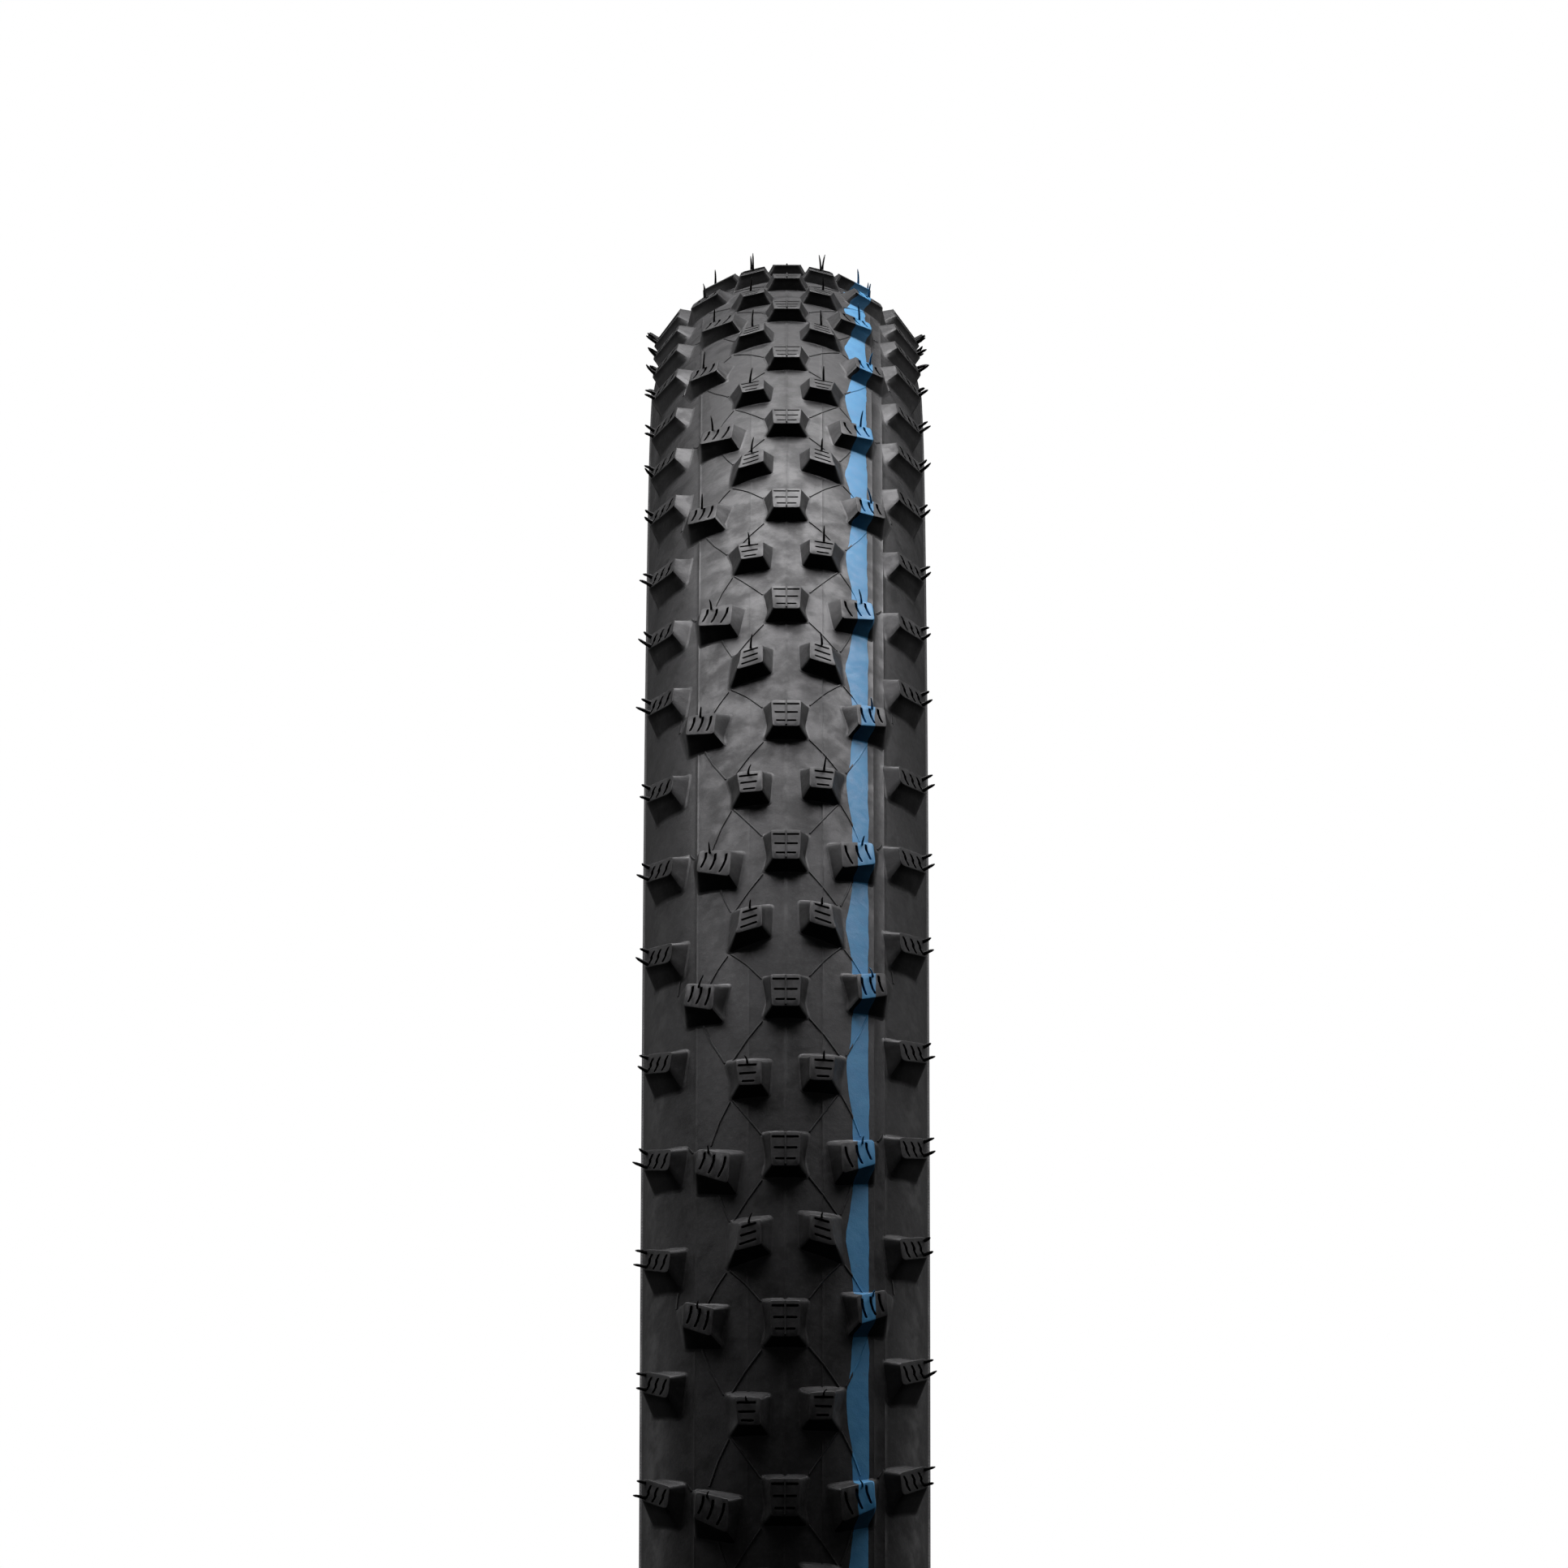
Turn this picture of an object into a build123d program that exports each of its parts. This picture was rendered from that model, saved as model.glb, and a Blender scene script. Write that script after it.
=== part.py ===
"""Knobby mountain-bike tyre, 29 x 2.25 (ETRTO 57-622), with a blue marking stripe.

Frame: millimetres, origin at the wheel's centre, +Y along the axle, +Z up.
Sections are drawn with the radius along +X and the width along +Y, then turned
about the Y axis. The tread blocks are drawn at the front of the tyre (+X), with
"arc" counted along the tread in the direction that rises at the front.
"""
import math
import os

from build123d import *

os.makedirs("parts", exist_ok=True)

# ---------------------------------------------------------------- casing
RING_RADIUS = 337.85         # wheel centre to the centre of the round section
SKIN = 27.5                  # radius of the section's outside
BASE_INNER = 26.85           # inside of the tread base and of the sidewall fabric
FABRIC_OUTER = 27.1          # outside of the sidewall fabric
TURNUP_INNER = 26.55         # inside of the ply turn-ups and of the belt
OUTER_PLY_INNER = 26.25
INNER_PLY_INNER = 25.95
LINER_INNER = 25.6

TREAD_EDGE = 80.0            # degrees round the section from the crown
BELT_EDGE = 50.0
BEAD_RAY = 142.0             # where every casing layer meets the bead

STRIPE_FROM = 12.8           # width positions of the coloured stripe
STRIPE_TO = 15.7
STRIPE_DEPTH = 0.2

# ---------------------------------------------------------------- bead
SEAT_RADIUS = 311.0          # bead seat on a 622 mm rim
CORE_CENTER = (313.3, 14.75)
CORE_RADIUS = 1.25

# ---------------------------------------------------------------- tread pattern
OUTER_RADIUS = 368.0         # over the centre blocks
UNITS = 32                   # the pattern repeats every two centre rows
UNIT_ANGLE = 360.0 / UNITS
FIRST_ROW_ANGLE = 19.7       # angle of the first row above +X
ROW_SKEW = 4.5               # the rows lead on the right-hand side, degrees
ROW_PITCH = math.pi * OUTER_RADIUS / UNITS

BLOCK_HEIGHT = 2.65
SHOULDER_RISE = 0.3          # extra height of the blocks out at the shoulder
SIPE_WIDTH = 0.6
SIPE_DEPTH = 2.0
SPEW_RADIUS = 0.35
SPEW_LENGTH = 3.0

# Blocks are listed as (width, arc) corners, first of the top face, then of the
# foot on the tread base. Arc starts at the leading edge of a centre block.
CENTER_TOP = [(-2.6, 0), (2.6, 0), (2.75, 2.4), (2.95, 7.65), (-2.95, 7.65), (-2.75, 2.4)]
CENTER_FOOT = [(-4.5, -1.1), (4.5, -1.1), (3.7, 2.7), (4.6, 9.0), (-4.6, 9.0), (-3.7, 2.7)]
CENTER_SIPES = [
    ((-1.75, 1.7), (1.75, 1.7)),
    ((-2.05, 4.1), (2.05, 4.1)),
    ((-2.35, 6.5), (2.35, 6.5)),
]

SQUARE_TOP = [(4.5, 18.7), (8.9, 19.2), (9.1, 21.2), (9.6, 25.2), (4.5, 24.4)]
SQUARE_FOOT = [(3.0, 17.5), (10.6, 17.9), (10.5, 22.0), (11.6, 27.2), (2.5, 26.0)]
SQUARE_SIPES = [
    ((6.1, 19.9), (8.1, 20.1)),
    ((5.8, 21.7), (8.6, 21.9)),
    ((5.7, 23.5), (8.9, 23.8)),
]

SLANTED_TOP = [(4.5, 19.9), (9.8, 19.0), (9.2, 21.2), (8.8, 25.2), (4.5, 25.4)]
SLANTED_FOOT = [(2.6, 19.0), (11.2, 16.6), (11.0, 21.2), (10.5, 27.2), (2.4, 27.2)]
SLANTED_SIPES = [
    ((5.7, 21.2), (8.5, 20.5)),
    ((5.7, 22.9), (8.3, 22.3)),
    ((5.7, 24.6), (8.1, 24.1)),
]

INBOARD_TOP = [(10.8, -1.7), (17.2, 2.4), (16.7, 7.8), (10.4, 5.1)]
INBOARD_FOOT = [(9.2, -3.2), (16.9, -0.8), (17.6, 9.4), (7.8, 6.2)]
INBOARD_SIPES = [
    ((12.4, 0.4), (11.5, 4.2)),
    ((14.4, 1.7), (13.5, 5.2)),
    ((16.1, 3.1), (15.4, 6.3)),
]

OUTBOARD_TOP = [(13.9, 2.7), (19.5, 6.4), (19.1, 11.8), (13.4, 8.7), (13.8, 4.6)]
OUTBOARD_FOOT = [(11.6, 0.7), (18.9, 2.7), (20.5, 12.8), (10.4, 9.8), (12.0, 3.7)]
OUTBOARD_SIPES = [
    ((15.1, 4.9), (14.5, 8.1)),
    ((16.8, 6.0), (16.2, 9.0)),
    ((18.4, 7.1), (17.8, 10.0)),
]

SIDE_TOP = [(22.1, -6.3), (27.0, -2.2), (26.9, 2.5), (21.6, -1.8)]
SIDE_FOOT = [(19.5, -10.4), (24.9, -7.1), (25.4, 3.0), (18.4, -1.0)]
SIDE_SIPES = [
    ((23.4, -4.3), (22.7, -2.2)),
    ((24.8, -3.2), (24.1, -1.1)),
    ((26.2, -2.0), (25.5, 0.1)),
]
SIDE_ARCS = (12.2, 35.0, 61.8)   # arc of the three side blocks in one unit


def section_point(offset, angle):
    """Point at a distance from the section's centre, angle from the crown."""
    turn = math.radians(angle)
    return (RING_RADIUS + offset * math.cos(turn), offset * math.sin(turn))


def layer(inner, outer, start, end):
    """Face of one casing layer between two angles of the section."""
    with BuildSketch(Plane.XY) as face:
        with BuildLine():
            outside = CenterArc((RING_RADIUS, 0), outer, start, end - start)
            inside = CenterArc((RING_RADIUS, 0), inner, start, end - start)
            Line(outside @ 0, inside @ 0)
            Line(outside @ 1, inside @ 1)
        make_face()
    return face.sketch


def outline(points):
    """Face inside a closed list of points."""
    with BuildSketch(Plane.XY) as face:
        with BuildLine():
            Polyline(*points, close=True)
        make_face()
    return face.sketch


def crown_radius(width):
    """Wheel radius of the block tops at a given width position."""
    offset = SKIN + BLOCK_HEIGHT + SHOULDER_RISE * (abs(width) / SKIN) ** 4
    return RING_RADIUS + math.sqrt(offset ** 2 - width ** 2)


def block_plane(top):
    """Plane of a block's top face: on the tread's outline, leaning outwards."""
    widths = [width for width, arc in top]
    low = crown_radius(min(widths))
    high = crown_radius(max(widths))
    lean = math.atan2(low - high, max(widths) - min(widths))
    middle = (min(widths) + max(widths)) / 2
    return Plane(
        origin=((low + high) / 2, middle, 0),
        x_dir=(-math.sin(lean), math.cos(lean), 0),
        z_dir=(math.cos(lean), math.sin(lean), 0),
    )


def middle_arc(top):
    """Arc position of the middle of a block's top face."""
    arcs = [arc for width, arc in top]
    return (min(arcs) + max(arcs)) / 2


def tread_block(top, foot, sipes, depth):
    """One tread block: tapered walls from the top face to the foot, with sipes."""
    plane = block_plane(top)
    middle = middle_arc(top)
    tops = []
    roots = []
    for (top_width, top_arc), (foot_width, foot_arc) in zip(top, foot):
        x_top = (top_width - plane.origin.Y) / plane.x_dir.Y
        y_top = top_arc - middle
        base_radius = RING_RADIUS + math.sqrt(SKIN ** 2 - foot_width ** 2)
        low = plane.to_local_coords(Vector(base_radius, foot_width, foot_arc - middle))
        stretch = depth / -low.Z
        tops.append((x_top, y_top))
        roots.append((x_top + (low.X - x_top) * stretch, y_top + (low.Y - y_top) * stretch))
    with BuildPart() as block:
        with BuildSketch(plane.offset(-depth)):
            with BuildLine():
                Polyline(*roots, close=True)
            make_face()
        with BuildSketch(plane):
            with BuildLine():
                Polyline(*tops, close=True)
            make_face()
        loft(ruled=True)
        with BuildSketch(plane):
            for (start_width, start_arc), (end_width, end_arc) in sipes:
                start_x = (start_width - plane.origin.Y) / plane.x_dir.Y
                end_x = (end_width - plane.origin.Y) / plane.x_dir.Y
                length = math.hypot(end_x - start_x, end_arc - start_arc)
                turn = math.degrees(math.atan2(end_arc - start_arc, end_x - start_x))
                with Locations(((start_x + end_x) / 2, (start_arc + end_arc) / 2 - middle)):
                    Rectangle(length, SIPE_WIDTH, rotation=turn)
        extrude(amount=-SIPE_DEPTH, mode=Mode.SUBTRACT)
        Torus(RING_RADIUS, SKIN, rotation=(90, 0, 0), mode=Mode.SUBTRACT)
    return block.part.rotate(Axis.Y, -math.degrees(middle / OUTER_RADIUS))


def spew(top, width, arc):
    """One moulding hair standing on a block's top face."""
    plane = block_plane(top)
    middle = middle_arc(top)
    with BuildPart() as hair:
        with BuildSketch(plane):
            with Locations(((width - plane.origin.Y) / plane.x_dir.Y, arc - middle)):
                Circle(SPEW_RADIUS)
        extrude(amount=SPEW_LENGTH)
    return hair.part.rotate(Axis.Y, -math.degrees(middle / OUTER_RADIUS))


def around(shape, width, side, arcs=(0.0,)):
    """Copies of a right-hand shape in every unit, on the given side of the tread."""
    placed = shape if side > 0 else mirror(shape, about=Plane.XZ, mode=Mode.PRIVATE)
    skew = side * abs(width) * math.tan(math.radians(ROW_SKEW))
    copies = []
    for unit in range(UNITS):
        for arc in arcs:
            lead = math.degrees((arc + skew) / OUTER_RADIUS)
            angle = FIRST_ROW_ANGLE + unit * UNIT_ANGLE + lead
            copies.append(placed.rotate(Axis.Y, -angle))
    return copies


# ---------------------------------------------------------------- block templates
center_block = tread_block(CENTER_TOP, CENTER_FOOT, CENTER_SIPES, 4.5)
square_block = tread_block(SQUARE_TOP, SQUARE_FOOT, SQUARE_SIPES, 5.0)
slanted_block = tread_block(SLANTED_TOP, SLANTED_FOOT, SLANTED_SIPES, 5.0)
inboard_block = tread_block(INBOARD_TOP, INBOARD_FOOT, INBOARD_SIPES, 5.5)
outboard_block = tread_block(OUTBOARD_TOP, OUTBOARD_FOOT, OUTBOARD_SIPES, 6.0)
side_block = tread_block(SIDE_TOP, SIDE_FOOT, SIDE_SIPES, 8.0)

# ---------------------------------------------------------------- casing layers
with BuildPart() as inner_liner:
    revolve(layer(LINER_INNER, INNER_PLY_INNER, -BEAD_RAY, BEAD_RAY), axis=Axis.Y)
inner_liner.part.label = "inner_liner"
export_step(inner_liner.part, "parts/inner_liner.step")

with BuildPart() as inner_casing_ply:
    revolve(layer(INNER_PLY_INNER, OUTER_PLY_INNER, -BEAD_RAY, BEAD_RAY), axis=Axis.Y)
inner_casing_ply.part.label = "inner_casing_ply"
export_step(inner_casing_ply.part, "parts/inner_casing_ply.step")

with BuildPart() as outer_casing_ply:
    revolve(layer(OUTER_PLY_INNER, TURNUP_INNER, -BEAD_RAY, BEAD_RAY), axis=Axis.Y)
outer_casing_ply.part.label = "outer_casing_ply"
export_step(outer_casing_ply.part, "parts/outer_casing_ply.step")

with BuildPart() as puncture_belt:
    revolve(layer(TURNUP_INNER, BASE_INNER, -BELT_EDGE, BELT_EDGE), axis=Axis.Y)
puncture_belt.part.label = "puncture_belt"
export_step(puncture_belt.part, "parts/puncture_belt.step")

# The stripe is let into the tread base, flush with its outside.
stripe_start = math.degrees(math.asin(STRIPE_FROM / SKIN))
stripe_end = math.degrees(math.asin(STRIPE_TO / SKIN))
stripe_face = layer(SKIN - STRIPE_DEPTH, SKIN, stripe_start, stripe_end)

with BuildPart() as marking_stripe:
    revolve(stripe_face, axis=Axis.Y)
marking_stripe.part.label = "marking_stripe"
export_step(marking_stripe.part, "parts/marking_stripe.step")

with BuildPart() as tread_base:
    with BuildSketch(Plane.XY) as tread_section:
        add(layer(BASE_INNER, SKIN, -TREAD_EDGE, TREAD_EDGE))
        add(stripe_face, mode=Mode.SUBTRACT)
    revolve(axis=Axis.Y)
tread_base.part.label = "tread_base"
export_step(tread_base.part, "parts/tread_base.step")

# ---------------------------------------------------------------- bead outlines
# Each outline runs from the inside of the casing, round the toe, the seat and the
# heel, and back up to the outside of the casing on the bead ray.
bead_outside = [
    section_point(LINER_INNER, BEAD_RAY),
    (315.2, 13.4),
    (313.6, 12.2),
    (312.3, 11.9),
    (SEAT_RADIUS, 12.5),
    (SEAT_RADIUS, 16.9),
    (311.8, 17.6),
    (313.9, 17.6),
    section_point(SKIN, BEAD_RAY),
]
chafer_inside = [
    section_point(INNER_PLY_INNER, BEAD_RAY),
    (314.75, 13.75),
    (313.35, 12.85),
    (312.3, 12.6),
    (311.65, 12.85),
    (311.65, 16.6),
    (312.1, 16.95),
    (313.75, 16.95),
    section_point(BASE_INNER, BEAD_RAY),
]
turnup_inside = [
    section_point(OUTER_PLY_INNER, BEAD_RAY),
    (314.5, 14.0),
    (313.25, 13.15),
    (312.3, 12.9),
    (311.95, 13.0),
    (311.95, 16.45),
    (312.2, 16.65),
    (313.65, 16.65),
    section_point(TURNUP_INNER, BEAD_RAY),
]

with BuildPart() as right_bead_core:
    with BuildSketch(Plane.XY):
        with Locations(CORE_CENTER):
            Circle(CORE_RADIUS)
    revolve(axis=Axis.Y)
right_bead_core.part.label = "right_bead_core"
export_step(right_bead_core.part, "parts/right_bead_core.step")

with BuildPart() as right_bead_filler:
    with BuildSketch(Plane.XY):
        add(outline(turnup_inside))
        with Locations(CORE_CENTER):
            Circle(CORE_RADIUS, mode=Mode.SUBTRACT)
    revolve(axis=Axis.Y)
right_bead_filler.part.label = "right_bead_filler"
export_step(right_bead_filler.part, "parts/right_bead_filler.step")

with BuildPart() as right_ply_turnup:
    with BuildSketch(Plane.XY):
        add(outline(chafer_inside))
        add(outline(turnup_inside), mode=Mode.SUBTRACT)
        add(layer(TURNUP_INNER, BASE_INNER, BELT_EDGE, BEAD_RAY))
    revolve(axis=Axis.Y)
right_ply_turnup.part.label = "right_ply_turnup"
export_step(right_ply_turnup.part, "parts/right_ply_turnup.step")

with BuildPart() as right_chafer_strip:
    with BuildSketch(Plane.XY):
        add(outline(bead_outside))
        add(outline(chafer_inside), mode=Mode.SUBTRACT)
    revolve(axis=Axis.Y)
right_chafer_strip.part.label = "right_chafer_strip"
export_step(right_chafer_strip.part, "parts/right_chafer_strip.step")

with BuildPart() as right_sidewall_fabric:
    revolve(layer(BASE_INNER, FABRIC_OUTER, TREAD_EDGE, BEAD_RAY), axis=Axis.Y)
right_sidewall_fabric.part.label = "right_sidewall_fabric"
export_step(right_sidewall_fabric.part, "parts/right_sidewall_fabric.step")

with BuildPart() as right_sidewall_rubber:
    revolve(layer(FABRIC_OUTER, SKIN, TREAD_EDGE, BEAD_RAY), axis=Axis.Y)
right_sidewall_rubber.part.label = "right_sidewall_rubber"
export_step(right_sidewall_rubber.part, "parts/right_sidewall_rubber.step")

# The left-hand side mirrors the right.
with BuildPart() as left_bead_core:
    add(mirror(right_bead_core.part, about=Plane.XZ, mode=Mode.PRIVATE))
left_bead_core.part.label = "left_bead_core"
export_step(left_bead_core.part, "parts/left_bead_core.step")

with BuildPart() as left_bead_filler:
    add(mirror(right_bead_filler.part, about=Plane.XZ, mode=Mode.PRIVATE))
left_bead_filler.part.label = "left_bead_filler"
export_step(left_bead_filler.part, "parts/left_bead_filler.step")

with BuildPart() as left_ply_turnup:
    add(mirror(right_ply_turnup.part, about=Plane.XZ, mode=Mode.PRIVATE))
left_ply_turnup.part.label = "left_ply_turnup"
export_step(left_ply_turnup.part, "parts/left_ply_turnup.step")

with BuildPart() as left_chafer_strip:
    add(mirror(right_chafer_strip.part, about=Plane.XZ, mode=Mode.PRIVATE))
left_chafer_strip.part.label = "left_chafer_strip"
export_step(left_chafer_strip.part, "parts/left_chafer_strip.step")

with BuildPart() as left_sidewall_fabric:
    add(mirror(right_sidewall_fabric.part, about=Plane.XZ, mode=Mode.PRIVATE))
left_sidewall_fabric.part.label = "left_sidewall_fabric"
export_step(left_sidewall_fabric.part, "parts/left_sidewall_fabric.step")

with BuildPart() as left_sidewall_rubber:
    add(mirror(right_sidewall_rubber.part, about=Plane.XZ, mode=Mode.PRIVATE))
left_sidewall_rubber.part.label = "left_sidewall_rubber"
export_step(left_sidewall_rubber.part, "parts/left_sidewall_rubber.step")

# ---------------------------------------------------------------- tread blocks
# Row 0 has the inboard blocks beside it, row 1 the outboard ones. The slanted
# pair leads row 0 of the next unit, and the square pair leads row 1.
with BuildPart() as center_blocks:
    add(around(center_block, 0, 1, (0, ROW_PITCH)), clean=False)
center_blocks.part.label = "center_blocks"
export_step(center_blocks.part, "parts/center_blocks.step")

with BuildPart() as right_transition_blocks:
    add(around(square_block, 7, 1), clean=False)
    add(around(slanted_block, 7, 1, (ROW_PITCH,)), clean=False)
right_transition_blocks.part.label = "right_transition_blocks"
export_step(right_transition_blocks.part, "parts/right_transition_blocks.step")

with BuildPart() as left_transition_blocks:
    add(around(square_block, 7, -1), clean=False)
    add(around(slanted_block, 7, -1, (ROW_PITCH,)), clean=False)
left_transition_blocks.part.label = "left_transition_blocks"
export_step(left_transition_blocks.part, "parts/left_transition_blocks.step")

with BuildPart() as right_intermediate_blocks:
    add(around(inboard_block, 14, 1), clean=False)
    add(around(outboard_block, 16.5, 1, (ROW_PITCH,)), clean=False)
right_intermediate_blocks.part.label = "right_intermediate_blocks"
export_step(right_intermediate_blocks.part, "parts/right_intermediate_blocks.step")

with BuildPart() as left_intermediate_blocks:
    add(around(inboard_block, 14, -1), clean=False)
    add(around(outboard_block, 16.5, -1, (ROW_PITCH,)), clean=False)
left_intermediate_blocks.part.label = "left_intermediate_blocks"
export_step(left_intermediate_blocks.part, "parts/left_intermediate_blocks.step")

with BuildPart() as right_side_blocks:
    add(around(side_block, 18, 1, SIDE_ARCS), clean=False)
right_side_blocks.part.label = "right_side_blocks"
export_step(right_side_blocks.part, "parts/right_side_blocks.step")

with BuildPart() as left_side_blocks:
    add(around(side_block, 18, -1, SIDE_ARCS), clean=False)
left_side_blocks.part.label = "left_side_blocks"
export_step(left_side_blocks.part, "parts/left_side_blocks.step")

# ---------------------------------------------------------------- moulding hairs
square_spew = spew(SQUARE_TOP, 7.3, 24.2)
slanted_spew = spew(SLANTED_TOP, 6.9, 25.0)
inboard_spew = spew(INBOARD_TOP, 14.6, 6.3)
outboard_spew = spew(OUTBOARD_TOP, 16.6, 9.7)
side_spew_rear = spew(SIDE_TOP, 26.4, 1.3)
side_spew_front = spew(SIDE_TOP, 26.5, -1.8)

with BuildPart() as right_vent_spews:
    add(around(square_spew, 7, 1), clean=False)
    add(around(slanted_spew, 7, 1, (ROW_PITCH,)), clean=False)
    add(around(inboard_spew, 14, 1), clean=False)
    add(around(outboard_spew, 16.5, 1, (ROW_PITCH,)), clean=False)
    add(around(side_spew_rear, 18, 1, SIDE_ARCS), clean=False)
    add(around(side_spew_front, 18, 1, SIDE_ARCS), clean=False)
right_vent_spews.part.label = "right_vent_spews"
export_step(right_vent_spews.part, "parts/right_vent_spews.step")

with BuildPart() as left_vent_spews:
    add(around(square_spew, 7, -1), clean=False)
    add(around(slanted_spew, 7, -1, (ROW_PITCH,)), clean=False)
    add(around(inboard_spew, 14, -1), clean=False)
    add(around(outboard_spew, 16.5, -1, (ROW_PITCH,)), clean=False)
    add(around(side_spew_rear, 18, -1, SIDE_ARCS), clean=False)
    add(around(side_spew_front, 18, -1, SIDE_ARCS), clean=False)
left_vent_spews.part.label = "left_vent_spews"
export_step(left_vent_spews.part, "parts/left_vent_spews.step")
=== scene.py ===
"""Visual model of a knobby mountain-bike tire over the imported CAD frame.

Lengths are worked out in millimetres and turned into metres when a mesh is made.
A place on the tread is (width, arc, height): width along the axle (+Y), arc along
the tread in the direction that rises at the front (+X), height over the skin.
"""
import math

import bmesh
import bpy
import numpy as np
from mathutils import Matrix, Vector


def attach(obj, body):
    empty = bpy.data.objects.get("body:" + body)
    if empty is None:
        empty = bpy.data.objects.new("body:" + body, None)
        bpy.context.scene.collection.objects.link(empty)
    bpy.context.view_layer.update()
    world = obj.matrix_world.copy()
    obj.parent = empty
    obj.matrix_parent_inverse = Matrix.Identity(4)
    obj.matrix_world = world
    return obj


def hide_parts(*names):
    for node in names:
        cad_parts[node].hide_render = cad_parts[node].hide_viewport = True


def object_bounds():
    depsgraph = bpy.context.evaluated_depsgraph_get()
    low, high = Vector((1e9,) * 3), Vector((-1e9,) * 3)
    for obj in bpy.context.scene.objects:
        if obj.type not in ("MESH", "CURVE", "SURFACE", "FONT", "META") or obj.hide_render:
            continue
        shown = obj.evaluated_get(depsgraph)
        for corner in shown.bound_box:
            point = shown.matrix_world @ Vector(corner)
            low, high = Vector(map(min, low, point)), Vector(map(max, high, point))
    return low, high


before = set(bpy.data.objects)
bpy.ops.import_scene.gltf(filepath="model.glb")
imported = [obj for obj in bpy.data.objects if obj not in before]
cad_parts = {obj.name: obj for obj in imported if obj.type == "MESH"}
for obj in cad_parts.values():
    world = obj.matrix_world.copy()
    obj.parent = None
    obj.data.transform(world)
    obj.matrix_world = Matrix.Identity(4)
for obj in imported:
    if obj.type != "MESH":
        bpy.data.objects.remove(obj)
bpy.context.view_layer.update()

# ---------------------------------------------------------------- sizes, as in the CAD
MM = 0.001
RING_RADIUS = 337.85         # wheel centre to the centre of the round section
SKIN = 27.5                  # radius of the section's outside
BASE_INNER = 26.85           # inside of the tread base
FABRIC_OUTER = 27.1          # inside of the sidewall rubber
LINER_OUTER = 25.95
LINER_INNER = 25.6
TREAD_EDGE = 80.0            # degrees round the section from the crown
BEAD_RAY = 142.0
OUTER_RADIUS = 368.0         # over the centre blocks
BLOCK_HEIGHT = 2.65
SHOULDER_RISE = 0.3          # extra height of the blocks out at the shoulder
UNITS = 32                   # the pattern repeats every two centre rows
UNIT_TURN = 2 * math.pi / UNITS
ROW_PITCH = math.pi * OUTER_RADIUS / UNITS
FIRST_ROW = math.radians(19.7)
ROW_SKEW = math.tan(math.radians(4.5))
STRIPE_FROM = 12.8
STRIPE_TO = 15.7
STRIPE_DEPTH = 0.2
SIPE_WIDTH = 0.62            # a touch wider and shallower than in the CAD
SIPE_DEPTH = 1.9

# Blocks and sipes are listed as (width, arc). Arc starts at a centre block's leading edge.
CENTER_TOP = [(-2.6, 0), (2.6, 0), (2.75, 2.4), (2.95, 7.65), (-2.95, 7.65), (-2.75, 2.4)]
CENTER_FOOT = [(-4.5, -1.1), (4.5, -1.1), (3.7, 2.7), (4.6, 9.0), (-4.6, 9.0), (-3.7, 2.7)]
CENTER_SIPES = [
    [(-1.75, 1.7), (1.75, 1.7)],
    [(-2.05, 4.1), (2.05, 4.1)],
    [(-2.35, 6.5), (2.35, 6.5)],
]
SQUARE_TOP = [(4.5, 18.7), (8.9, 19.2), (9.1, 21.2), (9.6, 25.2), (4.5, 24.4)]
SQUARE_FOOT = [(3.0, 17.5), (10.6, 17.9), (10.5, 22.0), (11.6, 27.2), (2.5, 26.0)]
SQUARE_SIPES = [
    [(6.1, 19.9), (8.1, 20.1)],
    [(5.8, 21.7), (8.6, 21.9)],
    [(5.7, 23.5), (8.9, 23.8)],
]
SLANTED_TOP = [(4.5, 19.9), (9.8, 19.0), (9.2, 21.2), (8.8, 25.2), (4.5, 25.4)]
SLANTED_FOOT = [(2.6, 19.0), (11.2, 16.6), (11.0, 21.2), (10.5, 27.2), (2.4, 27.2)]
SLANTED_SIPES = [
    [(5.7, 21.2), (8.5, 20.5)],
    [(5.7, 22.9), (8.3, 22.3)],
    [(5.7, 24.6), (8.1, 24.1)],
]
INBOARD_TOP = [(10.8, -1.7), (17.2, 2.4), (16.7, 7.8), (10.4, 5.1)]
INBOARD_FOOT = [(9.2, -3.2), (16.9, -0.8), (17.6, 9.4), (7.8, 6.2)]
INBOARD_SIPES = [
    [(12.7, 0.5), (12.1, 1.6), (11.6, 2.9), (11.4, 4.3)],
    [(14.5, 1.9), (14.0, 2.9), (13.6, 4.1), (13.5, 5.3)],
    [(16.2, 3.3), (15.8, 4.2), (15.4, 5.3), (15.3, 6.4)],
]
OUTBOARD_TOP = [(13.9, 2.7), (19.5, 6.4), (19.1, 11.8), (13.4, 8.7), (13.8, 4.6)]
OUTBOARD_FOOT = [(11.6, 0.7), (18.9, 2.7), (20.5, 12.8), (10.4, 9.8), (12.0, 3.7)]
OUTBOARD_SIPES = [
    [(15.3, 4.8), (14.9, 5.8), (14.6, 7.0), (14.5, 8.2)],
    [(17.0, 5.9), (16.5, 6.9), (16.2, 8.0), (16.1, 9.1)],
    [(18.5, 7.1), (18.1, 8.0), (17.8, 9.1), (17.7, 10.2)],
]
SIDE_TOP = [(22.1, -6.3), (27.0, -2.2), (26.9, 2.5), (21.6, -1.8)]
SIDE_FOOT = [(19.5, -10.4), (24.9, -7.1), (25.4, 3.0), (18.4, -1.0)]
SIDE_SIPES = [
    [(23.5, -4.4), (23.0, -3.7), (22.9, -2.9), (22.5, -2.2)],
    [(24.9, -3.3), (24.4, -2.6), (24.4, -1.8), (24.0, -1.1)],
    [(26.2, -2.1), (25.7, -1.5), (25.7, -0.8), (25.3, -0.1)],
]
SIDE_ARCS = (12.2, 35.0, 61.8)

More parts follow.
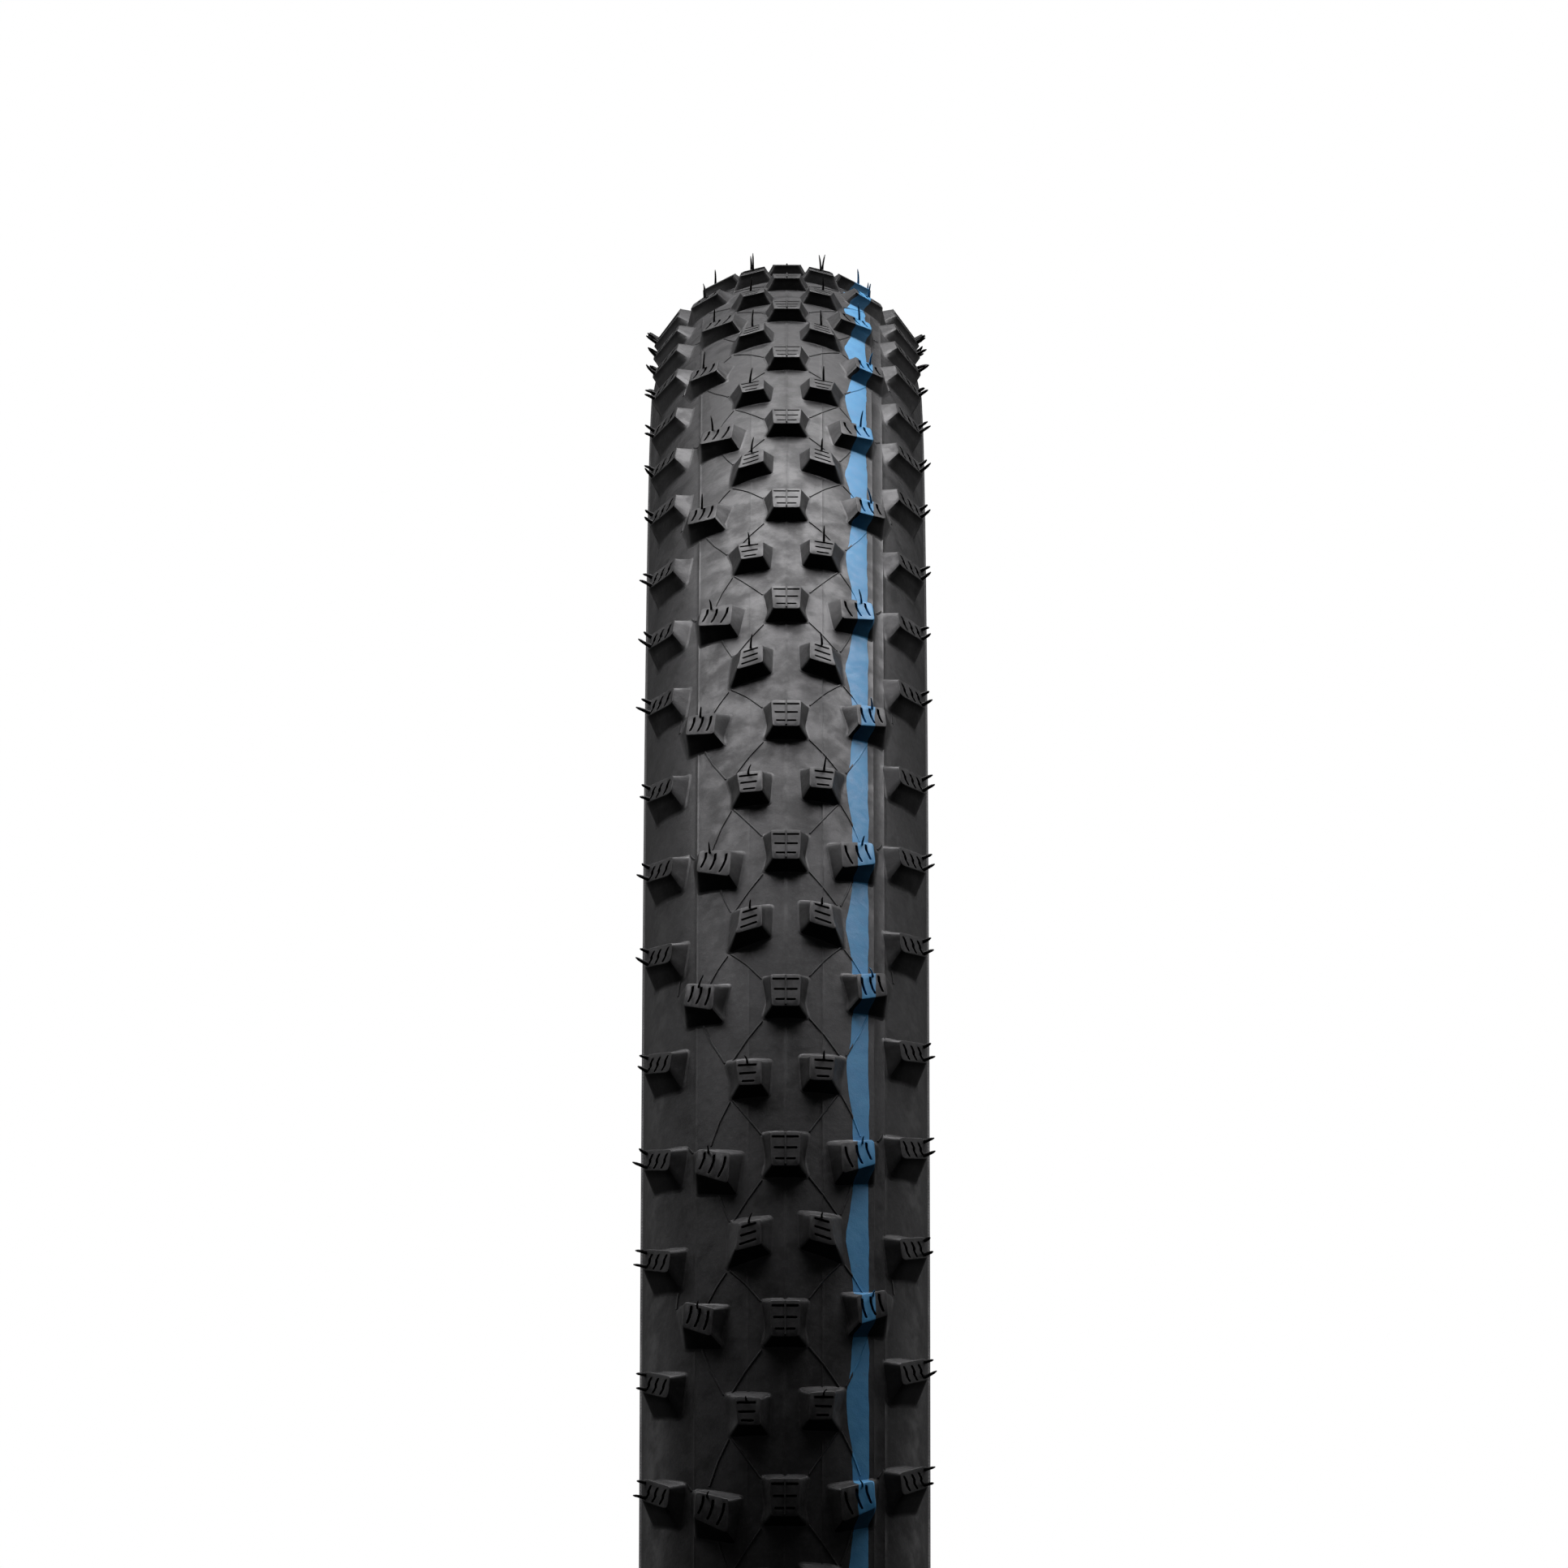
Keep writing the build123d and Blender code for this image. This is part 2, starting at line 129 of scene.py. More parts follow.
# The width at which each row of blocks takes its share of the rows' skew.
TRANSITION_AT = 7
INBOARD_AT = 14
OUTBOARD_AT = 16.5
SIDE_AT = 18

# ---------------------------------------------------------------- fine details, in millimetres
RING_SEGMENTS, BEAD_SEGMENTS, STRIPE_SEGMENTS = 512, 640, 1024
SMOOTH_BELOW = 32.0          # degrees between faces: sharper edges stay sharp
TOP_ROUNDING = ((0.16, 0.0), (0.08, 0.025), (0.02, 0.085))      # (inset, drop)
WALL_TOP_DROP = 0.2
WALL_STEPS = (0.0, 0.35, 0.68, 0.88, 0.95)                      # from the top to the foot
FOOT_FILLET = ((0.1, 0.06), (0.3, 0.0), (0.3, -0.4))            # (spread, rise)

LINE_STATIONS = (-1.5, -0.7, 0.0, 0.7, 1.5)              # points across a line, in half widths
RIB_STATIONS = (-1.6, -1.0, -0.6, 0.0, 0.6, 1.0, 1.6)
MOULD_LINES = [              # on the tread skin: (width, half width of the line, height)
    (0.0, 0.3, 0.16), (7.0, 0.16, 0.08), (18.8, 0.2, 0.12), (16.8, 0.14, 0.07),
    (-7.0, 0.14, 0.04), (-17.0, 0.2, 0.08),
]
SIDEWALL_RIBS = [            # on the sidewalls: (degrees round the section, half width, height)
    (82.0, 0.35, 0.22), (84.6, 0.2, 0.12), (86.2, 0.2, 0.12), (128.5, 0.3, 0.22),
    (132.0, 0.45, 0.4), (135.0, 0.25, 0.18), (138.0, 0.25, 0.18),
]
RIDGES = [                   # (width, arc) paths that join the blocks' corners
    [(4.6, 9.0), (7.4, 13.5), (10.0, 17.9)],
    [(4.6, 45.1), (7.6, 49.4), (10.5, 52.9)],
    [(4.5, 35.0), (7.5, 31.1), (10.2, 27.0)],
    [(4.5, 71.2), (7.2, 67.4), (9.8, 63.4)],
    [(11.6, 27.2), (14.1, 33.0), (15.8, 38.4)],
    [(10.5, 63.4), (11.7, 67.0), (12.5, 70.0)],
    [(10.6, 17.9), (12.6, 13.9), (14.2, 9.3)],
    [(11.2, 52.7), (13.0, 50.2), (14.6, 47.4)],
    [(17.6, 9.4), (18.2, 10.6), (18.4, 11.2)],
    [(20.6, 49.0), (20.4, 51.0), (20.1, 53.0)],
]
FLASH_FROM, FLASH_TO = 0.4, 7.3          # moulding flash along the top of a centre block
FLASH_HALF, FLASH_HEIGHT = 0.16, 0.12

STRIPE_WAVES = (37, 64, 96, 131, 199, 288)       # ripples of the edges round the wheel
STRIPE_WANDER = 0.085
STRIPE_BULGES = ((23.6, 7.0), (58.6, 6.2))       # (arc, reach) on the inner edge
BULGE_DEPTH = 1.3
STRIPE_RISE, STRIPE_LIP = 0.045, 0.012           # over the skin, in the middle and at the edges
STRIPE_ROOT = (0.25, 0.19)                       # how far in and how deep the underside is

# Moulding hairs: block top, width of the row's skew, arc of the row, place, length, thickness.
HAIRS = [
    (SQUARE_TOP, TRANSITION_AT, 0.0, (7.3, 24.2), 3.2, 0.2),
    (SLANTED_TOP, TRANSITION_AT, ROW_PITCH, (6.9, 25.0), 3.2, 0.2),
    (INBOARD_TOP, INBOARD_AT, 0.0, (14.6, 6.3), 3.0, 0.2),
    (OUTBOARD_TOP, OUTBOARD_AT, ROW_PITCH, (16.6, 9.7), 3.0, 0.2),
]
for row_arc in SIDE_ARCS:
    HAIRS.append((SIDE_TOP, SIDE_AT, row_arc, (26.4, 1.3), 2.0, 0.36))
    HAIRS.append((SIDE_TOP, SIDE_AT, row_arc, (26.5, -1.8), 2.4, 0.36))
SHOULDER_HAIRS_FROM = 20     # hairs further out than this lean outwards
SHOULDER_LEAN = 1.0

CHAFER_OUTSIDE = [           # corners between the two ends on the casing, as (radius, width)
    (315.2, 13.4), (313.6, 12.2), (312.3, 11.9), (311.0, 12.5), (311.0, 16.9),
    (311.8, 17.6), (313.9, 17.6),
]
CHAFER_INSIDE = [
    (313.75, 16.95), (312.1, 16.95), (311.65, 16.6), (311.65, 12.85), (312.3, 12.6),
    (313.35, 12.85), (314.75, 13.75),
]

# ---------------------------------------------------------------- studio, in metres
FLOOR_REACH = 4.5
FLOOR_GAP = 0.0005
FLOOR_GLOW = 0.6
KEY_PLACE, KEY_AIM, KEY_SIZE = (-0.42, 0.0, 1.8), (0.15, 0.0, 0.3), (1.3, 3.0)
KEY_POWER, KEY_SPREAD = 60.0, 150.0
FILL_PLACE, FILL_SIZE, FILL_POWER = (-1.4, 2.2, 0.6), (1.4, 1.4), 3.5
SIDE_LAMP_PLACE, SIDE_LAMP_SIZE, SIDE_LAMP_POWER = (-0.5, 2.4, 1.1), (2.0, 2.0), 34.0
WORLD_LIGHT = 0.04           # brightness of the white backdrop as a light
WORLD_SEEN = 1.0             # and as the camera sees it
CAMERA_DISTANCE = 11.015 * OUTER_RADIUS * MM
CAMERA_RISE = math.radians(3.698)        # the camera's height, as an angle seen from the centre
CAMERA_ASIDE = -0.0004
CAMERA_ROLL = -0.0018
CAMERA_LENS = 452.7                      # mm, on a 36 mm sensor

rng = np.random.default_rng(29)


# ---------------------------------------------------------------- placing on the tread
def skin_radius(width, height=0.0):
    """Wheel radius of the skin, or of a surface a little above it."""
    return RING_RADIUS + np.sqrt((SKIN + height) ** 2 - np.square(width))


def crown_radius(width):
    """Wheel radius of the block tops at a width position."""
    offset = SKIN + BLOCK_HEIGHT + SHOULDER_RISE * (abs(width) / SKIN) ** 4
    return RING_RADIUS + math.sqrt(offset ** 2 - width ** 2)


def to_space(width, arc, radius):
    """Points in millimetres from width, arc and wheel radius."""
    angle = FIRST_ROW + np.asarray(arc, float) / OUTER_RADIUS
    radius = np.asarray(radius, float)
    width = np.broadcast_to(np.asarray(width, float), radius.shape)
    return np.stack([radius * np.cos(angle), width, radius * np.sin(angle)], axis=-1)


def turned(points, angle):
    """Points turned about the axle, rising at the front for a positive angle."""
    cos, sin = math.cos(angle), math.sin(angle)
    x, y, z = points[:, 0], points[:, 1], points[:, 2]
    return np.stack([x * cos - z * sin, y, x * sin + z * cos], axis=-1)


# ---------------------------------------------------------------- meshes
def make_object(name, points, faces, material, sharp):
    """A smooth-shaded mesh object from millimetre points and equal-sided faces."""
    mesh = bpy.data.meshes.new(name)
    faces = np.asarray(faces, np.int32)
    mesh.vertices.add(len(points))
    mesh.vertices.foreach_set("co", (np.asarray(points, float) * MM).ravel())
    mesh.loops.add(faces.size)
    mesh.loops.foreach_set("vertex_index", faces.ravel())
    mesh.polygons.add(len(faces))
    mesh.polygons.foreach_set("loop_start", np.arange(0, faces.size, faces.shape[1]))
    mesh.polygons.foreach_set("use_smooth", np.ones(len(faces), bool))
    mesh.update(calc_edges=True)
    mesh.validate()
    mesh.set_sharp_from_angle(angle=math.radians(sharp))
    mesh.materials.append(material)
    thing = bpy.data.objects.new(name, mesh)
    bpy.context.scene.collection.objects.link(thing)
    return thing


def facing_out(points, faces):
    """The faces, turned over if the closed mesh they make is inside out."""
    a, b, c = points[faces[:, 0]], points[faces[:, 1]], points[faces[:, 2]]
    volume = np.einsum("ij,ij->i", a, np.cross(b, c)).sum()
    if faces.shape[1] == 4:
        d = points[faces[:, 3]]
        volume += np.einsum("ij,ij->i", a, np.cross(c, d)).sum()
    return faces if volume > 0 else faces[:, ::-1]


def lathe(profile, segments):
    """A closed outline of (radius, width) turned about the axle.

    The profile is one outline, or one for each segment."""
    profile = np.asarray(profile, float)
    if profile.ndim == 2:
        profile = np.broadcast_to(profile, (segments,) + profile.shape)
    count = profile.shape[1]
    angle = np.linspace(0, 2 * math.pi, segments, endpoint=False)[:, None]
    radius, width = profile[:, :, 0], profile[:, :, 1]
    points = np.stack([radius * np.cos(angle), width, radius * np.sin(angle)], axis=-1)
    row = np.arange(segments)[:, None] * count
    step = np.arange(count)[None, :]
    after_row = np.roll(np.arange(segments), -1)[:, None] * count
    after_step = np.roll(np.arange(count), -1)[None, :]
    corners = [row + step, row + after_step, after_row + after_step, after_row + step]
    faces = np.stack(corners, axis=-1).reshape(-1, 4)
    points = points.reshape(-1, 3)
    return points, facing_out(points, faces)


def arc_profile(offset, start, end, count):
    """Points of the round section at one distance from its centre."""
    angle = np.radians(np.linspace(start, end, count))
    return np.stack([RING_RADIUS + offset * np.cos(angle), offset * np.sin(angle)], axis=-1)


def section_point(offset, angle):
    """One point of the round section, from its distance and its angle in radians."""
    return (RING_RADIUS + offset * math.cos(angle), offset * math.sin(angle))


def eased(points, passes=3):
    """An open line with its corners rounded; the ends stay."""
    points = np.asarray(points, float)
    for _ in range(passes):
        first = points[:-1] * 0.78 + points[1:] * 0.22
        second = points[:-1] * 0.22 + points[1:] * 0.78
        middle = np.stack([first, second], axis=1).reshape(-1, 2)
        points = np.concatenate([points[:1], middle[1:-1], points[-1:]])
    return points


def tube_faces(rings, sides):
    """Quads of a tube of six-sided rings, with both ends closed."""
    faces = []
    for n in range(rings - 1):
        for m in range(sides):
            k = (m + 1) % sides
            faces.append((n * sides + m, n * sides + k, (n + 1) * sides + k, (n + 1) * sides + m))
    last = (rings - 1) * sides
    faces += [(0, 1, 2, 3), (0, 3, 4, 5)]
    faces += [(last + 3, last + 2, last + 1, last), (last + 5, last + 4, last + 3, last)]
    return np.array(faces)


def around(points, faces, side, width, arcs=(0.0,)):
    """Copies of a right-hand template in every pattern unit, on one side of the tread."""
    if side < 0:
        points = points * np.array([1.0, -1.0, 1.0])
        faces = faces[:, ::-1]
    all_points, all_faces = [], []
    for unit in range(UNITS):
        for arc in arcs:
            lead = (arc + side * width * ROW_SKEW) / OUTER_RADIUS
            all_faces.append(faces + len(points) * len(all_points))
            all_points.append(turned(points, unit * UNIT_TURN + lead))
    return np.concatenate(all_points), np.concatenate(all_faces)


def merged(*parts):
    """Several (points, faces) in one."""
    points, faces, total = [], [], 0
    for part_points, part_faces in parts:
        points.append(part_points)
        faces.append(part_faces + total)
        total += len(part_points)
    return np.concatenate(points), np.concatenate(faces)


# ---------------------------------------------------------------- tread blocks
def rounded(outline, radius, edge_steps=4, corner_steps=3):
    """A closed outline with rounded corners, always with the same number of points."""
    corners = np.asarray(outline, float)
    back = np.roll(corners, 1, axis=0) - corners
    ahead = np.roll(corners, -1, axis=0) - corners
    back /= np.linalg.norm(back, axis=1)[:, None]
    ahead /= np.linalg.norm(ahead, axis=1)[:, None]
    turning = np.arccos(-np.einsum("ij,ij->i", back, ahead))
    cut = radius * np.maximum(1.0, np.tan(turning / 2))[:, None]
    starts, ends = corners + back * cut, corners + ahead * cut
    points = []
    for start, here, end, following in zip(starts, corners, ends, np.roll(starts, -1, axis=0)):
        for t in np.linspace(0, 1, corner_steps + 1):
            points.append((1 - t) ** 2 * start + 2 * t * (1 - t) * here + t ** 2 * end)
        for t in np.linspace(0, 1, edge_steps + 2)[1:-1]:
            points.append(end + (following - end) * t)
    return np.array(points)


def grown(outline, amount):
    """An outline moved outwards (or inwards, for a negative amount) along its normals."""
    ahead = np.roll(outline, -1, axis=0) - np.roll(outline, 1, axis=0)
    normal = np.stack([ahead[:, 1], -ahead[:, 0]], axis=-1)
    normal /= np.linalg.norm(normal, axis=1)[:, None]
    return outline + normal * amount


def top_plane(top):
    """A function that gives a block top's wheel radius at a width: flat from side to side."""
    widths = [width for width, arc in top]
    low, high = crown_radius(min(widths)), crown_radius(max(widths))

    def top_radius(width):
        return low + (high - low) * (width - min(widths)) / (max(widths) - min(widths))

    return top_radius


def block_mesh(top, foot):
    """A closed block: rounded top edge, tapered walls and a fillet onto the skin."""
    top_radius = top_plane(top)
    top_line, foot_line = rounded(top, 0.6), rounded(foot, 0.8)
    rings = []
    for inset, drop in TOP_ROUNDING:
        line = grown(top_line, -inset)
        rings.append((line, top_radius(line[:, 0]) - drop))
    high_radius = top_radius(top_line[:, 0]) - WALL_TOP_DROP
    foot_radius = skin_radius(foot_line[:, 0])
    for t in WALL_STEPS:
        line = top_line * (1 - t) + foot_line * t
        rings.append((line, high_radius * (1 - t) + foot_radius * t))
    for spread, rise in FOOT_FILLET:
        line = grown(foot_line, spread)
        rings.append((line, skin_radius(line[:, 0]) + rise))
    points = [to_space(line[:, 0], line[:, 1], radius) for line, radius in rings]
    count = len(top_line)
    mesh = bmesh.new()
    verts = [[mesh.verts.new(point) for point in ring] for ring in points]
    for upper, lower in zip(verts, verts[1:]):
        for n in range(count):
            m = (n + 1) % count
            mesh.faces.new((upper[n], upper[m], lower[m], lower[n]))
    mesh.faces.new(verts[0][::-1])
    middle = mesh.verts.new(points[-1].mean(axis=0))
    for n in range(count):
        mesh.faces.new((verts[-1][n], verts[-1][(n + 1) % count], middle))
    bmesh.ops.triangulate(mesh, faces=mesh.faces)
    bmesh.ops.recalc_face_normals(mesh, faces=mesh.faces)
    return mesh


def sipe_cutter(mesh, path, top_radius):
    """Adds a closed slot with round ends, along a path of (width, arc), to a cutter mesh."""
    path = np.asarray(path, float)
    ahead = np.gradient(path, axis=0)
    ahead /= np.linalg.norm(ahead, axis=1)[:, None]
    across = np.stack([-ahead[:, 1], ahead[:, 0]], axis=-1)
    half = SIPE_WIDTH / 2
    outline = list(path + across * half)
    for turn in (60, 30, 0, -30, -60):
        lean = math.radians(turn)
        outline.append(path[-1] + half * (math.cos(lean) * ahead[-1] + math.sin(lean) * across[-1]))
    outline += list((path - across * half)[::-1])
    for turn in (-60, -30, 0, 30, 60):
        lean = math.radians(turn)
        outline.append(path[0] + half * (-math.cos(lean) * ahead[0] + math.sin(lean) * across[0]))
    outline = np.array(outline)
    count = len(outline)
    level = top_radius(outline[:, 0])
    upper = [mesh.verts.new(p) for p in to_space(outline[:, 0], outline[:, 1], level + 1.5)]
    narrow = grown(outline[::-1], -0.12)[::-1]
    lower = [mesh.verts.new(p) for p in to_space(narrow[:, 0], narrow[:, 1], level - SIPE_DEPTH)]
    for n in range(count):
        m = (n + 1) % count
        mesh.faces.new((upper[n], upper[m], lower[m], lower[n]))
    mesh.faces.new(upper[::-1])
    mesh.faces.new(lower)


def siped_block(name, top, foot, sipes):
    """Points and triangles of a block with its sipes cut by a boolean."""
    solid_mesh, top_radius = block_mesh(top, foot), top_plane(top)
    cutter_mesh = bmesh.new()
    for path in sipes:
        sipe_cutter(cutter_mesh, path, top_radius)
    bmesh.ops.triangulate(cutter_mesh, faces=cutter_mesh.faces)
    bmesh.ops.recalc_face_normals(cutter_mesh, faces=cutter_mesh.faces)
    things = []
    for tag, source in (("solid", solid_mesh), ("cutter", cutter_mesh)):
        mesh = bpy.data.meshes.new(f"{name}_{tag}")
        source.to_mesh(mesh)
        source.free()
        thing = bpy.data.objects.new(f"{name}_{tag}", mesh)
        bpy.context.scene.collection.objects.link(thing)
        things.append(thing)
    solid, cutter = things
    cut = solid.modifiers.new("sipes", "BOOLEAN")
    cut.operation = "DIFFERENCE"
    cut.solver = "EXACT"
    cut.object = cutter
    bpy.context.view_layer.update()
    result = solid.evaluated_get(bpy.context.evaluated_depsgraph_get()).to_mesh()
    clean = bmesh.new()
    clean.from_mesh(result)
    bmesh.ops.remove_doubles(clean, verts=clean.verts, dist=0.004)
    bmesh.ops.triangulate(clean, faces=clean.faces)
    clean.verts.index_update()
    points = np.array([tuple(v.co) for v in clean.verts])
    faces = np.array([[v.index for v in face.verts] for face in clean.faces])
    clean.free()
    for thing in things:
        data = thing.data
        bpy.data.objects.remove(thing)
        bpy.data.meshes.remove(data)
    return points, facing_out(points, faces)


# ---------------------------------------------------------------- fine moulded details
def ridge(path, half=0.2, height=0.16, base=0.0):
    """A thin raised line along a path of (width, arc), at a height over the skin."""
    path = np.asarray(path, float)
    fine = [path[0]]
    for start, end in zip(path, path[1:]):
        for t in np.linspace(0, 1, 7)[1:]:
            fine.append(start + (end - start) * t)
    fine = np.array(fine)
    ahead = np.gradient(fine, axis=0)
    ahead /= np.linalg.norm(ahead, axis=1)[:, None]
    across = np.stack([-ahead[:, 1], ahead[:, 0]], axis=-1)
    section = ((-half, -0.15), (-half, 0.0), (-half * 0.45, height), (half * 0.45, height),
               (half, 0.0), (half, -0.15))
    rings = []
    for offset, rise in section:
        line = fine + across * offset
        rings.append(to_space(line[:, 0], line[:, 1], skin_radius(line[:, 0], base) + rise))
    rings = np.stack(rings, axis=1)
    points = rings.reshape(-1, 3)
    return points, facing_out(points, tube_faces(*rings.shape[:2]))


def hair(root, direction, length, thickness, bend):
    """A tapering bent moulding hair, as points and quads."""
    steps, sides = 6, 6
    direction = direction / np.linalg.norm(direction)
    helper = np.array([0.0, 0.0, 1.0]) if abs(direction[2]) < 0.9 else np.array([1.0, 0.0, 0.0])
    across = np.cross(direction, helper)
    across /= np.linalg.norm(across)
    up = np.cross(direction, across)
    rings = []
    for t in np.linspace(-0.12, 1, steps):
        middle = root + direction * length * t + bend * length * max(t, 0) ** 2
        radius = thickness * (1.25 - 0.55 * max(t, 0) ** 0.7 if t < 0.95 else 0.35)
        for turn in np.linspace(0, 2 * math.pi, sides, endpoint=False):
            rings.append(middle + radius * (math.cos(turn) * across + math.sin(turn) * up))
    points = np.array(rings)
    return points, facing_out(points, tube_faces(steps, sides))


# ---------------------------------------------------------------- node materials
SHEEN_TINT = (1.0, 0.965, 1.02, 1.0)     # the reflections' faint violet cast
STRIPE_BLUE = (0.036, 0.215, 0.44, 1.0)
STRIPE_PALE = (0.055, 0.255, 0.485, 1.0)
SHEEN = 0.33                 # specular level of black rubber
PAINTED_SHADE_SHEEN_LOSS = 0.25       # how much less sheen the blocks' leading walls get, as painted shade


class Shade:
    """A node material under construction. Its places are in millimetres."""

    def __init__(self, name, roughness=0.6, specular=SHEEN):
        self.material = bpy.data.materials.new(name)
        self.material.use_nodes = True
        self.tree = self.material.node_tree
        self.surface = self.tree.nodes["Principled BSDF"]
        self.surface.inputs["Roughness"].default_value = roughness
        self.surface.inputs["Specular IOR Level"].default_value = specular
        self.surface.inputs["Specular Tint"].default_value = SHEEN_TINT
        where = self.node("ShaderNodeTexCoord", {}, output="Object")
        self.place = self.node("ShaderNodeVectorMath", {0: where, "Scale": 1000.0},
                               operation="SCALE")
        split = self.tree.nodes.new("ShaderNodeSeparateXYZ")
        self.tree.links.new(self.place, split.inputs[0])
        x, self.width, z = split.outputs
        flat = self.node("ShaderNodeCombineXYZ", {"X": x, "Z": z})
        self.radius = self.node("ShaderNodeVectorMath", {0: flat}, output=1, operation="LENGTH")
        self.turn = self.math("ARCTAN2", z, x)
        back = self.math("MULTIPLY", z, -1.0)
        self.ahead = self.node("ShaderNodeCombineXYZ", {"X": back, "Z": x})
        self.rise = self.math("SUBTRACT", self.radius, RING_RADIUS)
        section = self.node("ShaderNodeCombineXYZ", {"X": self.rise, "Y": self.width})
        self.offset = self.node("ShaderNodeVectorMath", {0: section}, output=1,
                                operation="LENGTH")
        self.across = self.math("MULTIPLY", self.math("ARCTAN2", self.width, self.rise), SKIN)
        self.normal = None

    def node(self, kind, inputs, output=0, **settings):
        made = self.tree.nodes.new(kind)
        for key, value in settings.items():
            setattr(made, key, value)
        for key, value in inputs.items():
            if isinstance(value, bpy.types.NodeSocket):
                self.tree.links.new(value, made.inputs[key])
            else:
                made.inputs[key].default_value = value
        return made.outputs[output]

    def math(self, operation, *values):
        return self.node("ShaderNodeMath", dict(enumerate(values)), operation=operation)

    def noise(self, scale, detail=3.0, roughness=0.55):
        inputs = {"Vector": self.place, "Scale": scale, "Detail": detail, "Roughness": roughness}
        return self.node("ShaderNodeTexNoise", inputs)

    def ramp(self, value, low, high, start=0.0, end=1.0):
        return self.node("ShaderNodeMapRange", {0: value, 1: low, 2: high, 3: start, 4: end},
                         interpolation_type="SMOOTHSTEP")

    def blend(self, factor, first, second):
        return self.node("ShaderNodeMix", {0: factor, 6: first, 7: second}, output=2,
                         data_type="RGBA")

    def threads(self, per_turn, per_mm, phase=0.0):
        """Parallel cords, from 0 to 1: so many round the wheel, slanted by the second."""
        lengthwise = self.math("MULTIPLY", self.turn, float(per_turn))
        slant = self.math("MULTIPLY_ADD", self.across, per_mm, phase)
        wave = self.math("SINE", self.math("ADD", lengthwise, slant))
        return self.math("MULTIPLY_ADD", wave, 0.5, 0.5)

    def bump(self, height, depth, strength=1.0):
        """Adds relief of a depth in millimetres."""
        inputs = {"Height": height, "Distance": depth * MM, "Strength": strength}
        if self.normal is not None:
            inputs["Normal"] = self.normal
        self.normal = self.node("ShaderNodeBump", inputs)
        self.tree.links.new(self.normal, self.surface.inputs["Normal"])

    def set(self, name, value):
        self.tree.links.new(value, self.surface.inputs[name])


def grey(value, blue=0.0):
    """A grey of one brightness, with a share more (or less) of blue."""
    return (value, value, value * (1 + blue), 1.0)


def rubber_grain(shade, dark, light):
    """Black rubber: cloudy bloom, fine grain and a few specks. Returns its colour."""
    cloud = shade.ramp(shade.noise(0.06, 4.0), 0.35, 0.7)
    film = shade.ramp(shade.noise(0.9, 5.0, 0.65), 0.42, 0.72)
    colour = shade.blend(cloud, dark, light)
    colour = shade.blend(shade.math("MULTIPLY", film, 0.5), colour, grey(0.037, 0.03))
    speck = shade.ramp(shade.noise(5.5, 2.0), 0.71, 0.76)
    colour = shade.blend(shade.math("MULTIPLY", speck, 0.5), colour, grey(0.075))
    shade.set("Roughness", shade.ramp(shade.noise(0.2, 5.0, 0.6), 0.35, 0.65, 0.4, 0.62))
    shade.bump(shade.noise(0.45, 3.0), 0.05)
    shade.bump(shade.noise(3.2, 4.0, 0.6), 0.02)
    return colour


def stripe_colour(shade):
    """The stripe's blue, a little uneven."""
    return shade.blend(shade.ramp(shade.noise(0.25, 4.0), 0.3, 0.7), STRIPE_BLUE, STRIPE_PALE)


def stripe_mask(shade):
    """1 where the stripe runs over the blocks: its edges lean outwards as the blocks rise."""
    height = shade.ramp(shade.math("SUBTRACT", shade.offset, SKIN), 0.2, BLOCK_HEIGHT)
    outboard = FIRST_ROW + (ROW_PITCH + 8.5) / OUTER_RADIUS
    phase = shade.math("MULTIPLY", shade.math("SUBTRACT", shade.turn, outboard), float(UNITS))
    swing = shade.math("MULTIPLY_ADD", shade.math("COSINE", phase), 0.4, 1.35)
    wander = shade.math("MULTIPLY_ADD", shade.noise(0.16, 2.0), 1.1, -0.55)
    lower = shade.math("ADD", shade.math("MULTIPLY", height, swing), wander)
    upper = shade.math("ADD", shade.math("MULTIPLY", height, 1.4), wander)
    inner_edge = shade.math("SUBTRACT", shade.width, shade.math("ADD", lower, STRIPE_FROM))
    outer_edge = shade.math("SUBTRACT", shade.width, shade.math("ADD", upper, STRIPE_TO))
    return shade.math("MULTIPLY", shade.ramp(inner_edge, -0.08, 0.08),
                      shade.ramp(outer_edge, -0.08, 0.08, 1.0, 0.0))


def tread_rubber():
    """Black tread rubber, blue where the stripe runs over the intermediate blocks, with painted
    shade on the blocks' leading walls.
    """
    shade = Shade("tread_rubber")
    colour = rubber_grain(shade, grey(0.0105), grey(0.0185, 0.04))
    colour = shade.blend(stripe_mask(shade), colour, stripe_colour(shade))
    # Painted shade: the walls on the blocks' leading side, which face against the arc, are painted
    # near black with less sheen to stand in for the shade they lie in.
    facing = shade.node("ShaderNodeNewGeometry", {}, output="Normal")
    unit_ahead = shade.node("ShaderNodeVectorMath", {0: shade.ahead}, operation="NORMALIZE")
    along = shade.node("ShaderNodeVectorMath", {0: facing, 1: unit_ahead}, output="Value",
                       operation="DOT_PRODUCT")
    painted_shade_wall = shade.ramp(shade.math("MULTIPLY", along, -1.0), 0.4, 0.62)
    shade.set("Base Color", shade.blend(shade.math("MULTIPLY", painted_shade_wall, 0.7), colour, grey(0.002)))
    shade.set("Specular IOR Level", shade.math("MULTIPLY_ADD", painted_shade_wall, -PAINTED_SHADE_SHEEN_LOSS, SHEEN))
    return shade.material


def stripe_rubber():
    """Blue rubber with dark smudges."""
    shade = Shade("stripe_rubber", specular=0.42)
    smudge = shade.ramp(shade.noise(0.55, 5.0, 0.7), 0.6, 0.78)
    shade.set("Base Color", shade.blend(shade.math("MULTIPLY", smudge, 0.35),
                                        stripe_colour(shade), (0.03, 0.07, 0.12, 1.0)))
    shade.set("Roughness", shade.ramp(shade.noise(0.5, 4.0), 0.3, 0.7, 0.5, 0.66))
    shade.bump(shade.noise(0.45, 3.0), 0.08)
    shade.bump(shade.noise(3.2, 4.0, 0.6), 0.03)
    return shade.material


